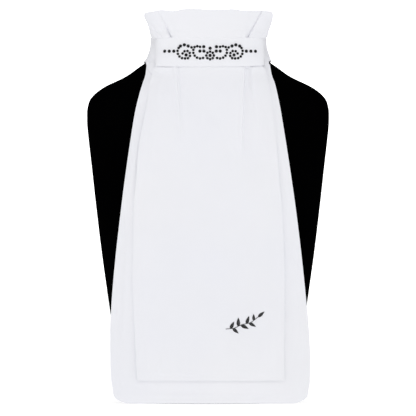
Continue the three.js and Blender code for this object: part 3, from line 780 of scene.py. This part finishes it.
def thread(name, colour, lighter):
    """A twisted sewing thread, with a fine fibre noise in its colour and relief."""
    paint = Paint(name, Roughness=0.6, **{"Sheen Weight": 0.2})
    place = paint.place()
    fibre = paint.noise(place, 2600.0, 2.0)
    paint.set("Base Color", paint.tint(colour, lighter, fibre))
    paint.relief(fibre, 0.4, 0.0001)
    return paint.material


def hook_strip():
    """The closure's hooked face: a fine grid of stubs."""
    paint = Paint("white hook strip", Roughness=0.7)
    cells = paint.node("ShaderNodeTexVoronoi", {"Vector": paint.place(), "Scale": 900.0})
    grid = Term(paint, cells.outputs[0])
    paint.set("Base Color", paint.tint((0.6, 0.6, 0.62), (0.8, 0.8, 0.82), grid))
    paint.relief(grid, 0.8, 0.0004)
    return paint.material


def pale_surround(name, shade, glow):
    """The white floor that the bust stands on, or the backdrop behind it."""
    paint = Paint(f"pale {name}", Roughness=0.9)
    grain = paint.noise(paint.place(), 3.0)
    paint.set("Base Color", paint.tint((shade,) * 3, (shade + 0.02,) * 3, grain))
    paint.set("Emission Color", (1, 1, 1, 1))
    paint.set("Emission Strength", glow)
    return paint.material


def tidy_selection():
    bpy.ops.object.select_all(action="DESELECT")


def work_on(piece):
    """Makes one piece the only one selected."""
    tidy_selection()
    piece.select_set(True)
    bpy.context.view_layer.objects.active = piece


def finish_with(piece, kind, **settings):
    """Adds a modifier to a piece and applies it."""
    work_on(piece)
    modifier = piece.modifiers.new(kind.title(), kind)
    for name, value in settings.items():
        setattr(modifier, name, value)
    bpy.ops.object.modifier_apply(modifier=modifier.name)


def grid_piece(name, points, cloth_map):
    """A sheet through a grid of points, with the cloth's own map in metres."""
    rows, across = points.shape[:2]
    index = np.arange(rows * across).reshape(rows, across)
    quads = np.stack([index[:-1, :-1], index[:-1, 1:], index[1:, 1:], index[1:, :-1]], -1)
    mesh = bpy.data.meshes.new(name)
    mesh.from_pydata(points.reshape(-1, 3).tolist(), [], quads.reshape(-1, 4).tolist())
    layer = mesh.uv_layers.new(name="cloth")
    corners = np.zeros(len(mesh.loops), np.int32)
    mesh.loops.foreach_get("vertex_index", corners)
    layer.data.foreach_set("uv", cloth_map.reshape(-1, 2)[corners].astype(np.float32).ravel())
    piece = bpy.data.objects.new(name, mesh)
    bpy.context.scene.collection.objects.link(piece)
    return piece


def face_outwards(piece):
    """Turns a sheet so that its faces look away from the neck."""
    bm = bmesh.new()
    bm.from_mesh(piece.data)
    middle = Vector((0, 0.003, 0))
    votes = sum(f.normal.dot(f.calc_center_median() - middle) for f in bm.faces)
    if votes < 0:
        bmesh.ops.reverse_faces(bm, faces=bm.faces)
    bm.to_mesh(piece.data)
    bm.free()


def make_wall(piece, thickness):
    """Gives a sheet its wall, with rounded edges."""
    face_outwards(piece)
    finish_with(piece, "SOLIDIFY", thickness=thickness, offset=0.0, use_quality_normals=True)
    rounding = min(EDGE_ROUNDING, 0.45 * thickness)
    turn = math.radians(55)
    finish_with(piece, "BEVEL", width=rounding, segments=3, limit_method="ANGLE", angle_limit=turn)
    for polygon in piece.data.polygons:
        polygon.use_smooth = True


def distances(points, axis):
    """How far along the cloth each point lies from the first one."""
    steps = np.linalg.norm(np.diff(points, axis=axis), axis=-1)
    start = np.zeros_like(np.take(steps, [0], axis=axis))
    return np.concatenate([start, np.cumsum(steps, axis=axis)], axis=axis)


def cloth_map_of(points):
    """The cloth's own map: distances across and along it, in metres."""
    across = distances(points, 1)
    along = distances(points, 0)
    middle = points.shape[1] // 2
    from_middle = across - across[:, middle : middle + 1]
    down_middle = np.broadcast_to(along[:, middle : middle + 1], along.shape)
    return np.stack([from_middle, down_middle], -1)


def flat_size(points):
    """The cut width, length and area of a sheet."""
    width = distances(points, 1)[:, -1].max()
    length = distances(points, 0)[-1].max()
    edges_across = np.diff(points, axis=1)[:-1]
    edges_along = np.diff(points, axis=0)[:, :-1]
    area = np.linalg.norm(np.cross(edges_across, edges_along), axis=-1).sum()
    return (float(width), float(length)), float(area)


def declare_sheet(points):
    """Works out a sheet's cut size and area, which nothing then uses."""
    flat, area = flat_size(points)
    area = min(area, flat[0] * flat[1])


def dress(piece, material, slot, *nodes):
    """Gives a finished piece its material and its place on the frame. The slot that it is given is not
    used.
    """
    piece.data.materials.clear()
    piece.data.materials.append(material)
    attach(piece, "root")
    if nodes:
        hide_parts(*nodes)


def select_by(piece, kind, wanted):
    """In edit mode, selects the faces, edges or points that a test picks out."""
    bpy.ops.mesh.select_mode(type=kind)
    bpy.ops.mesh.select_all(action="DESELECT")
    bm = bmesh.from_edit_mesh(piece.data)
    for part in {"VERT": bm.verts, "EDGE": bm.edges, "FACE": bm.faces}[kind]:
        if wanted(part):
            part.select = True
    bm.select_flush_mode()
    bmesh.update_edit_mesh(piece.data)


def neck_bust():
    """The display bust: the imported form, smoothed and brought back on to its own sections."""
    work_on(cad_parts["neck_bust"])
    bpy.ops.object.duplicate()
    bust = bpy.context.active_object
    bust.name = "velvet_bust"
    bust.parent = None
    for key in list(bust.keys()):
        del bust[key]
    bpy.ops.object.mode_set(mode="EDIT")
    bpy.ops.mesh.select_all(action="SELECT")
    bpy.ops.mesh.remove_doubles(threshold=BUST_MERGE)
    bpy.ops.mesh.tris_convert_to_quads(face_threshold=math.radians(30), shape_threshold=math.radians(60))
    top = BUST[-1][0]
    select_by(bust, "EDGE", lambda edge: all(v.co.z < BUST_RIM for v in edge.verts))
    bpy.ops.transform.edge_crease(value=1)
    select_by(bust, "EDGE", lambda edge: all(v.co.z > top - BUST_RIM for v in edge.verts))
    bpy.ops.transform.edge_crease(value=1)
    bpy.ops.object.mode_set(mode="OBJECT")
    finish_with(bust, "SUBSURF", levels=2, render_levels=2)
    spots = np.array([v.co for v in bust.data.vertices])
    height = spots[:, 2]
    side = (height > BUST_RIM / 2) & (height < top - BUST_RIM / 2)
    middle = (bust_at["front"](height) + bust_at["back"](height)) / 2
    half_depth = (bust_at["back"](height) - bust_at["front"](height)) / 2
    power = bust_at["squareness"](height)
    across = np.abs(spots[:, 0] / bust_at["half_width"](height)) ** power
    inwards = np.abs((spots[:, 1] - middle) / half_depth) ** power
    off = (across + inwards) ** (1 / power)
    fit = np.where(side, 1 / np.maximum(off, 0.5), 1)
    for vertex, scale, y0 in zip(bust.data.vertices, fit, middle):
        vertex.co.x *= scale
        vertex.co.y = y0 + (vertex.co.y - y0) * scale
    work_on(bust)
    bpy.ops.object.shade_smooth_by_angle(angle=math.radians(50))
    dress(bust, black_velvet(), "black_velvet", "neck_bust")


def rear_flap(cotton):
    """The wider flap behind, with round lower corners."""
    u = np.linspace(0, 1, REAR_GRID["across"])
    u = mix(u, 0.5 - 0.5 * np.cos(np.pi * u), REAR_GRID["closer_at_sides"])
    v = np.linspace(0, 1, REAR_GRID["rows"])
    v = mix(v, 1 - (1 - v) ** REAR_GRID["power"], REAR_GRID["closer_at_hem"])
    level = mix(REAR_TOP, REAR_HEM, v)[:, None]
    near_top = smooth_share(level, REAR_TUCK["from_z"], REAR_TOP)
    raised = level + REAR_TUCK["height"] * near_top
    left, right = rear_at["left"](raised), rear_at["right"](raised)
    x = mix(left, right, u[None, :])
    from_side = np.minimum(x - left, right - x)
    in_corner = np.maximum(0, 1 - from_side / REAR_CORNER["width"])
    lift = REAR_CORNER["height"] * (1 - np.sqrt(np.maximum(0, 1 - in_corner**2)))
    lift = lift * (1 - smooth_share(level, REAR_HEM, REAR_CORNER["fades_at"]))
    tuck = REAR_TUCK["height"] * smooth_share(np.abs(x), REAR_TUCK["from_x"], REAR_TUCK["to_x"])
    z = level + lift + tuck * near_top
    inwards = np.minimum(from_side, z - REAR_HEM)
    y = rear_depth(x, z) - seam_ridge(inwards)
    points = np.stack([x, y, z], -1)
    piece = grid_piece("rear_flap_cloth", points, cloth_map_of(points))
    make_wall(piece, PLY_WALL)
    dress(piece, cotton, "white_cloth", "rear_flap")
    declare_sheet(points)


def panel_grid(rows, across):
    """The front panel's middle surface, from the frill's edge down to the hem."""
    last = float(len(PLEATS) - 1)
    fine = np.linspace(0, last, 1200)
    frill, hem = pleat_at["frill_x"](fine), pleat_at["fade_x"](fine)
    run = (frill - frill[0]) / (frill[-1] - frill[0]) + (hem - hem[0]) / (hem[-1] - hem[0])
    place = np.interp(np.linspace(0, 2, across), run, fine)[None, :]
    edge = FRILL_TOP - frill_drop(pleat_x(place, LEVELS["frill"]))
    even = np.linspace(PANEL_HEM, FRILL_TOP, 3000)
    band_edges = (CROSS_BOTTOM, CROSS_TOP + PANEL_GRID["above_band"])
    near_band = sum(np.exp(-(((even - edge_z) / PANEL_GRID["reach"]) ** 2)) for edge_z in band_edges)
    count = np.cumsum(1 + PANEL_GRID["closer"] * near_band)
    flat = np.interp(np.linspace(count[-1], count[0], rows), count, even)[:, None]
    stretch = smooth_share(flat, LEVELS["band_top"], FRILL_TOP)
    z = flat - stretch * (FRILL_TOP - edge)
    x = pleat_x(place, z)
    inwards = np.minimum(np.minimum(x - x[:, :1], x[:, -1:] - x), z - PANEL_HEM)
    ridge = seam_ridge(inwards) * (1 - smooth_share(z, *SEAM["fades"]))
    y = panel_depth(x, z, place + 0 * z) - ridge
    return np.stack([x, y, z + 0 * x], -1)


def front_panel(cotton):
    """The front flap, pinched into pleats by the cross band, with the frill above it."""
    points = panel_grid(PANEL_GRID["rows"], PANEL_GRID["across"])
    piece = grid_piece("front_flap_cloth", points, cloth_map_of(points))
    make_wall(piece, PLY_WALL)
    dress(piece, cotton, "white_cloth", "front_panel")
    declare_sheet(points)


def neckband_bottom(degrees):
    """The neckband's lower edge: level round the back, falling beside the front flap."""
    low, high = BAND_ROUND_NECK["bottom_at_front"], BAND_ROUND_NECK["bottom_at_sides"]
    high = high + BAND_ROUND_NECK["bottom_tilt"] * np.cos(np.radians(degrees))
    fall = np.clip((frontness(degrees) - BAND_FALL["starts"]) / BAND_FALL["run"], 0, 1)
    return mix(high, low, fall ** BAND_FALL["power"])


def frontness(degrees):
    """How far the neckband faces forwards, from 0 at the sides to 1 in the middle of the front."""
    return np.maximum(0, -np.sin(np.radians(degrees)))


def neckband(cotton):
    """The band round the neck, its outer end lapped over the closure behind."""
    shape = BAND_ROUND_NECK
    degrees = np.linspace(shape["inner_end"], shape["outer_end"], 420)[None, :]
    v = np.linspace(0, 1, 36)[:, None]
    raised = LAP * smooth_share(degrees, shape["ramp_start"], shape["ramp_end"])
    bottom = neckband_bottom(degrees)
    z = mix(shape["top"], bottom, v)
    front = frontness(degrees)
    beside = smooth_share(front, *OVER_FLAP["starts"]) * (1 - smooth_share(front, *OVER_FLAP["ends"]))
    over_flap = OVER_FLAP["height"] * beside * (1 - smooth_share(z - bottom, *OVER_FLAP["fades"]))
    looser = shape["looser_at_left"] * np.maximum(0, np.cos(np.radians(degrees))) ** 2
    looser = looser * smooth_share(z, shape["looser_from_z"], shape["looser_to_z"])
    puckers = PUCKERS["height"] * np.sin(degrees * PUCKERS["rate"]) * np.sin(np.pi * v)
    fine = PUCKERS["fine_height"] * np.sin(degrees * PUCKERS["fine_rate"] + PUCKERS["slant"] * v)
    points = bust_skin(degrees, z, shape["off_bust"] + raised + over_flap + looser + (puckers + fine))
    piece = grid_piece("neckband_cloth", points, cloth_map_of(points))
    make_wall(piece, NECKBAND_WALL)
    dress(piece, cotton, "white_cloth", "neckband")
    declare_sheet(points)


def closure():
    """The hook strip between the neckband's lapped ends."""
    degrees = np.linspace(CLOSURE["start"], CLOSURE["end"], 60)[None, :]
    v = np.linspace(0, 1, 30)[:, None]
    top = BAND_ROUND_NECK["top"] - CLOSURE["margin"]
    bottom = BAND_ROUND_NECK["bottom_at_sides"] + CLOSURE["margin"]
    points = bust_skin(degrees, mix(top, bottom, v), CLOSURE["off_bust"])
    piece = grid_piece("hook_strip", points, cloth_map_of(points))
    make_wall(piece, CLOSURE["thickness"])
    dress(piece, hook_strip(), "white_closure", "neckband_fastener")
    declare_sheet(points)


def cross_surface(share, z):
    """The outer face of the cross band."""
    flat, facing = cross_plan(share, z)
    return np.stack([flat[..., 0], flat[..., 1], z + 0 * flat[..., 0]], -1), facing


def cross_band(cotton):
    """The band across the pleats, its ends turned back to the neckband."""
    share = np.linspace(-1, 1, 190)[None, :]
    v = np.linspace(0, 1, 46)[:, None]
    x = CROSS["half_width"] * signed_power(np.sin(share * math.pi / 2), 2 / CROSS["squareness"])
    lifted = CROSS_LIFT["height"] * np.exp(-(((x - CROSS_LIFT["x"]) / CROSS_LIFT["width"]) ** 2))
    bottom = CROSS_BOTTOM + CROSS_BOTTOM_RISE * share**2 + CROSS_SLANT * share + lifted
    sway = np.sin(x * CROSS_SWAY["rate"] + CROSS_SWAY["start"])
    top = CROSS_TOP - CROSS_SWAY["height"] * sway * (1 - share**2)
    z = mix(top, bottom, v)
    flat, facing = cross_plan(share, z, CROSS_WALL / 2)
    belly = CROSS_BELLY * np.sin(np.pi * v) * (1 - share**2) - CROSS_PRESSED["height"] * seam_band(v)
    flat = flat + facing * belly[..., None]
    points = np.stack([flat[..., 0], flat[..., 1], z + 0 * flat[..., 0]], -1)
    piece = grid_piece("cross_band_cloth", points, cloth_map_of(points))
    make_wall(piece, CROSS_WALL)
    dress(piece, cotton, "white_cloth", "crystal_band")
    declare_sheet(points)


def seam_band(v):
    """Where the cross band's folded edges are pressed flatter, from top to bottom."""
    reach = CROSS_PRESSED["share"]
    return np.exp(-((v / reach) ** 2)) + np.exp(-(((1 - v) / reach) ** 2))


def cut_stone(stone):
    """One cut crystal, its foot on the origin: a girdle, eight facets, eight stars and a table."""
    radius, height = stone["radius"], stone["height"]
    tidy_selection()
    bpy.ops.mesh.primitive_cone_add(
        vertices=8,
        radius1=radius,
        radius2=CUT["table"] * radius,
        depth=CUT["crown"] * height,
        location=(0, 0, CUT["crown_middle"] * height),
    )
    piece = bpy.context.active_object
    bpy.ops.object.transform_apply(location=True, rotation=True, scale=True)
    bpy.ops.object.mode_set(mode="EDIT")
    select_by(piece, "FACE", lambda face: face.normal.z < -0.9)
    bpy.ops.mesh.extrude_region_move(TRANSFORM_OT_translate={"value": (0, 0, -CUT["girdle"] * height)})
    select_by(piece, "VERT", lambda vertex: vertex.co.z > CUT["top"] * height)
    bpy.ops.mesh.bevel(offset=CUT["star"] * radius, affect="VERTICES")
    bpy.ops.object.mode_set(mode="OBJECT")
    return piece


def stone_places():
    """Where each crystal sits, seen from the front, and its size."""
    places = []

    def add(x, z, stone):
        places.append((SCROLL_CENTRE[0] + x, SCROLL_CENTRE[1] + z, stone))

    for mirror in (1, -1):
        for x, z, radius, start, end, count, stone in SCROLL_ARCS:
            for k in range(count):
                turn = math.radians(mix(start, end, k / (count - 1) if count > 1 else 0))
                add(mirror * (x + radius * math.cos(turn)), z + radius * math.sin(turn), stone)
        for k in range(SCROLL_ROW["count"]):
            x = SCROLL_ROW["first"] + k * SCROLL_ROW["pitch"]
            add(mirror * x, SCROLL_ROW["z"], "large")
    for k in range(ROSETTE["petals"]):
        turn = k * 2 * math.pi / ROSETTE["petals"]
        add(ROSETTE["radius"] * math.sin(turn), ROSETTE["z"] + ROSETTE["radius"] * math.cos(turn), "small")
    add(0, ROSETTE["z"], "large")
    add(0, ROSETTE["crown_z"], "large")
    return places


def crystals():
    """The mirrored scroll of black crystals on the cross band."""
    cut = {"small": cut_stone(SMALL_STONE), "large": cut_stone(LARGE_STONE)}
    stones = []
    for number, (x, z, size) in enumerate(stone_places()):
        share = cross_share(np.array([x - CROSS["centre"]]))
        point, facing = cross_surface(share, np.array([z]))
        outwards = Vector((facing[0][0], facing[0][1], 0))
        spin = Matrix.Rotation(number * STONE_TURN, 4, "Z").to_quaternion()
        turn = outwards.to_track_quat("Z", "Y") @ spin
        stone = bpy.data.objects.new(f"stone_{number}", cut[size].data.copy())
        bpy.context.scene.collection.objects.link(stone)
        foot = Vector(point[0]) - outwards * STONE_SEAT
        stone.data.transform(Matrix.Translation(foot) @ turn.to_matrix().to_4x4())
        stones.append(stone)
    for original in cut.values():
        bpy.data.objects.remove(original)
    tidy_selection()
    for stone in stones:
        stone.select_set(True)
    bpy.context.view_layer.objects.active = stones[0]
    bpy.ops.object.join()
    piece = bpy.context.active_object
    piece.name = "crystals"
    dress(piece, black_crystal(), "black_crystal")


def plain_stitch():
    """One stitch of thread, one long and of radius one, raised in its middle."""
    tidy_selection()
    bpy.ops.mesh.primitive_cylinder_add(vertices=6, radius=1, depth=1, rotation=(0, math.pi / 2, 0))
    stitch = bpy.context.active_object
    bpy.ops.object.transform_apply(location=True, rotation=True, scale=True)
    bpy.ops.object.mode_set(mode="EDIT")
    for place in STITCH["cuts"]:
        bpy.ops.mesh.select_all(action="SELECT")
        bpy.ops.mesh.bisect(plane_co=(place, 0, 0), plane_no=(1, 0, 0))
    for end in (1, -1):
        select_by(stitch, "VERT", lambda v: end * v.co.x > STITCH["ends"])
        bpy.ops.transform.resize(value=(1, STITCH["thin"], STITCH["thin"]))
    select_by(stitch, "VERT", lambda v: abs(v.co.x) < STITCH["middle"])
    bpy.ops.transform.translate(value=(0, 0, STITCH["rise"]))
    select_by(stitch, "VERT", lambda v: STITCH["middle"] < abs(v.co.x) < STITCH["ends"])
    bpy.ops.transform.translate(value=(0, 0, STITCH["side"]))
    bpy.ops.object.mode_set(mode="OBJECT")
    work_on(stitch)
    bpy.ops.object.shade_smooth()
    return stitch


def sew(name, stitches, material, slot):
    """Copies the stitch to each place: its two ends, its radius and the way it faces."""
    original = plain_stitch()
    copies = []
    for start, end, radius, facing in stitches:
        along = Vector(end) - Vector(start)
        up = Vector(facing)
        aside = up.cross(along).normalized()
        up = along.cross(aside).normalized()
        matrix = Matrix.Identity(4)
        for column, direction in enumerate((along, aside * radius, up * radius)):
            for row in range(3):
                matrix[row][column] = direction[row]
        matrix.translation = (Vector(start) + Vector(end)) / 2
        copy = bpy.data.objects.new(name, original.data.copy())
        bpy.context.scene.collection.objects.link(copy)
        copy.data.transform(matrix)
        copies.append(copy)
    bpy.data.objects.remove(original)
    tidy_selection()
    for copy in copies:
        copy.select_set(True)
    bpy.context.view_layer.objects.active = copies[0]
    bpy.ops.object.join()
    piece = bpy.context.active_object
    piece.name = name
    dress(piece, material, slot)


def sprig():
    """A small leaf sprig embroidered in black satin stitch."""
    stem = np.array(STEM)
    run = np.linspace(0, 1, len(STEM))
    stem_x = smooth_curve(run, stem[:, 0])
    stem_z = smooth_curve(run, stem[:, 1])

    def on_stem(t):
        t = np.clip(t, 0, 1)
        return np.array([float(stem_x(np.array(t))), float(stem_z(np.array(t)))])

    marks = []
    for k in range(STEM_STITCHES):
        start = on_stem(k / STEM_STITCHES)
        end = on_stem((k + SATIN["stem_length"]) / STEM_STITCHES)
        marks.append((start, end, THREAD * SATIN["stem_radius"]))
    for along, turn, length, width in LEAVES:
        root = on_stem(along)
        ahead = on_stem(along + SATIN["heading_step"]) - on_stem(along - SATIN["heading_step"])
        heading = math.atan2(ahead[1], ahead[0]) + math.radians(turn)
        forward = np.array([math.cos(heading), math.sin(heading)])
        aside = np.array([-forward[1], forward[0]])
        rows = int(length / (THREAD * SATIN["leaf_pitch"]))
        for k in range(rows):
            share = (k + 0.5) / rows
            fullness = SATIN["leaf_fullness"]
            half = 0.5 * width * math.sin(math.pi * share**fullness) ** fullness
            inner = root + forward * length * share
            for side in (1, -1):
                outer = inner + aside * side * half - forward * SATIN["slant"] * half
                past = aside * side * SATIN["past_middle"] * THREAD
                marks.append((inner - past, outer, THREAD * SATIN["leaf_radius"]))
    ends = np.array([[a, b] for a, b, _ in marks]) + np.array(SPRIG_CENTRE)
    line = np.full(ends.shape[:2], SPRIG_PLEAT_LINE)
    depth = panel_depth(ends[..., 0], ends[..., 1], line) - PLY_WALL / 2
    placed = np.stack([ends[..., 0], depth, ends[..., 1]], -1)
    black = thread("black embroidery thread", (0.004, 0.004, 0.005), (0.016, 0.016, 0.018))
    stitches = [(a, b, radius, (0, -1, 0)) for (a, b), (_, _, radius) in zip(placed, marks)]
    sew("embroidered_sprig", stitches, black, "black_crystal")


def neckband_stitches():
    """The topstitching that holds the closure, round the neckband's outer end."""
    off = BAND_ROUND_NECK["off_bust"] + LAP + NECKBAND_WALL / 2
    first = BAND_ROUND_NECK["outer_end"] - TOPSTITCH["starts"]
    last = BAND_ROUND_NECK["outer_end"] - TOPSTITCH["ends"]
    top, bottom = TOPSTITCH["top"], TOPSTITCH["bottom"]
    corners = [(first, top), (first, bottom), (last, bottom), (last, top)]
    stitches = []
    for (d0, z0), (d1, z1) in zip(corners, corners[1:] + corners[:1]):
        reach = bust_skin(np.array([d0, d1]), np.array([z0, z1]), np.array([off, off]))
        count = max(4, int(np.linalg.norm(reach[1] - reach[0]) / TOPSTITCH["pitch"]))
        for k in range(count):
            shares = np.array([(k + share) / count for share in TOPSTITCH["stitch"]])
            degrees, heights = mix(d0, d1, shares), mix(z0, z1, shares)
            a, b = bust_skin(degrees, heights, np.full(2, off))
            out = bust_skin(degrees, heights, np.full(2, off + TOPSTITCH["outwards"]))[0] - a
            stitches.append((a, b, TOPSTITCH["radius"], out))
    white = thread("white sewing thread", (0.78, 0.78, 0.8), (0.88, 0.88, 0.9))
    sew("neckband_topstitching", stitches, white, "white_cloth")


def surround():
    """A pale floor, and a pale backdrop far behind."""
    for name, size, place, turn, shade, glow in SURROUND:
        tidy_selection()
        bpy.ops.mesh.primitive_plane_add(size=size, location=place, rotation=(turn, 0, 0))
        sheet = bpy.context.active_object
        sheet.name = name
        bpy.ops.object.transform_apply(location=True, rotation=True, scale=True)
        sheet.data.materials.append(pale_surround(name, shade, glow))


def soft_light(name, place, size, watts):
    data = bpy.data.lights.new(name, "AREA")
    data.shape = "RECTANGLE"
    data.size, data.size_y = size
    data.energy = watts
    lamp = bpy.data.objects.new(name, data)
    bpy.context.scene.collection.objects.link(lamp)
    lamp.location = place
    lamp.rotation_mode = "QUATERNION"
    lamp.rotation_quaternion = (Vector(LAMP_AIM) - Vector(place)).to_track_quat("-Z", "Y")


def studio():
    """Plain soft light all round, a broad key from the front and above, and a fill at each side."""
    world = bpy.data.worlds.new("studio")
    bpy.context.scene.world = world
    world.use_nodes = True
    background = world.node_tree.nodes["Background"]
    background.inputs[0].default_value = (1, 1, 1, 1)
    background.inputs[1].default_value = WORLD_LIGHT
    for name, place, size, watts in LAMPS:
        soft_light(name, place, size, watts)
    bpy.context.scene.view_settings.view_transform = "Standard"


def camera():
    data = bpy.data.cameras.new("camera")
    data.sensor_width = SENSOR
    data.lens = SENSOR * CAMERA_DISTANCE / PICTURE_WIDTH
    data.clip_end = 100
    eye = bpy.data.objects.new("camera", data)
    bpy.context.scene.collection.objects.link(eye)
    eye.location = PICTURE_CENTRE - Vector((0, CAMERA_DISTANCE, 0))
    eye.rotation_euler = (math.pi / 2, 0, 0)
    bpy.context.scene.camera = eye


camera()
studio()
surround()
cotton = white_cloth()
neck_bust()
neckband(cotton)
closure()
rear_flap(cotton)
front_panel(cotton)
cross_band(cotton)
crystals()
sprig()
neckband_stitches()
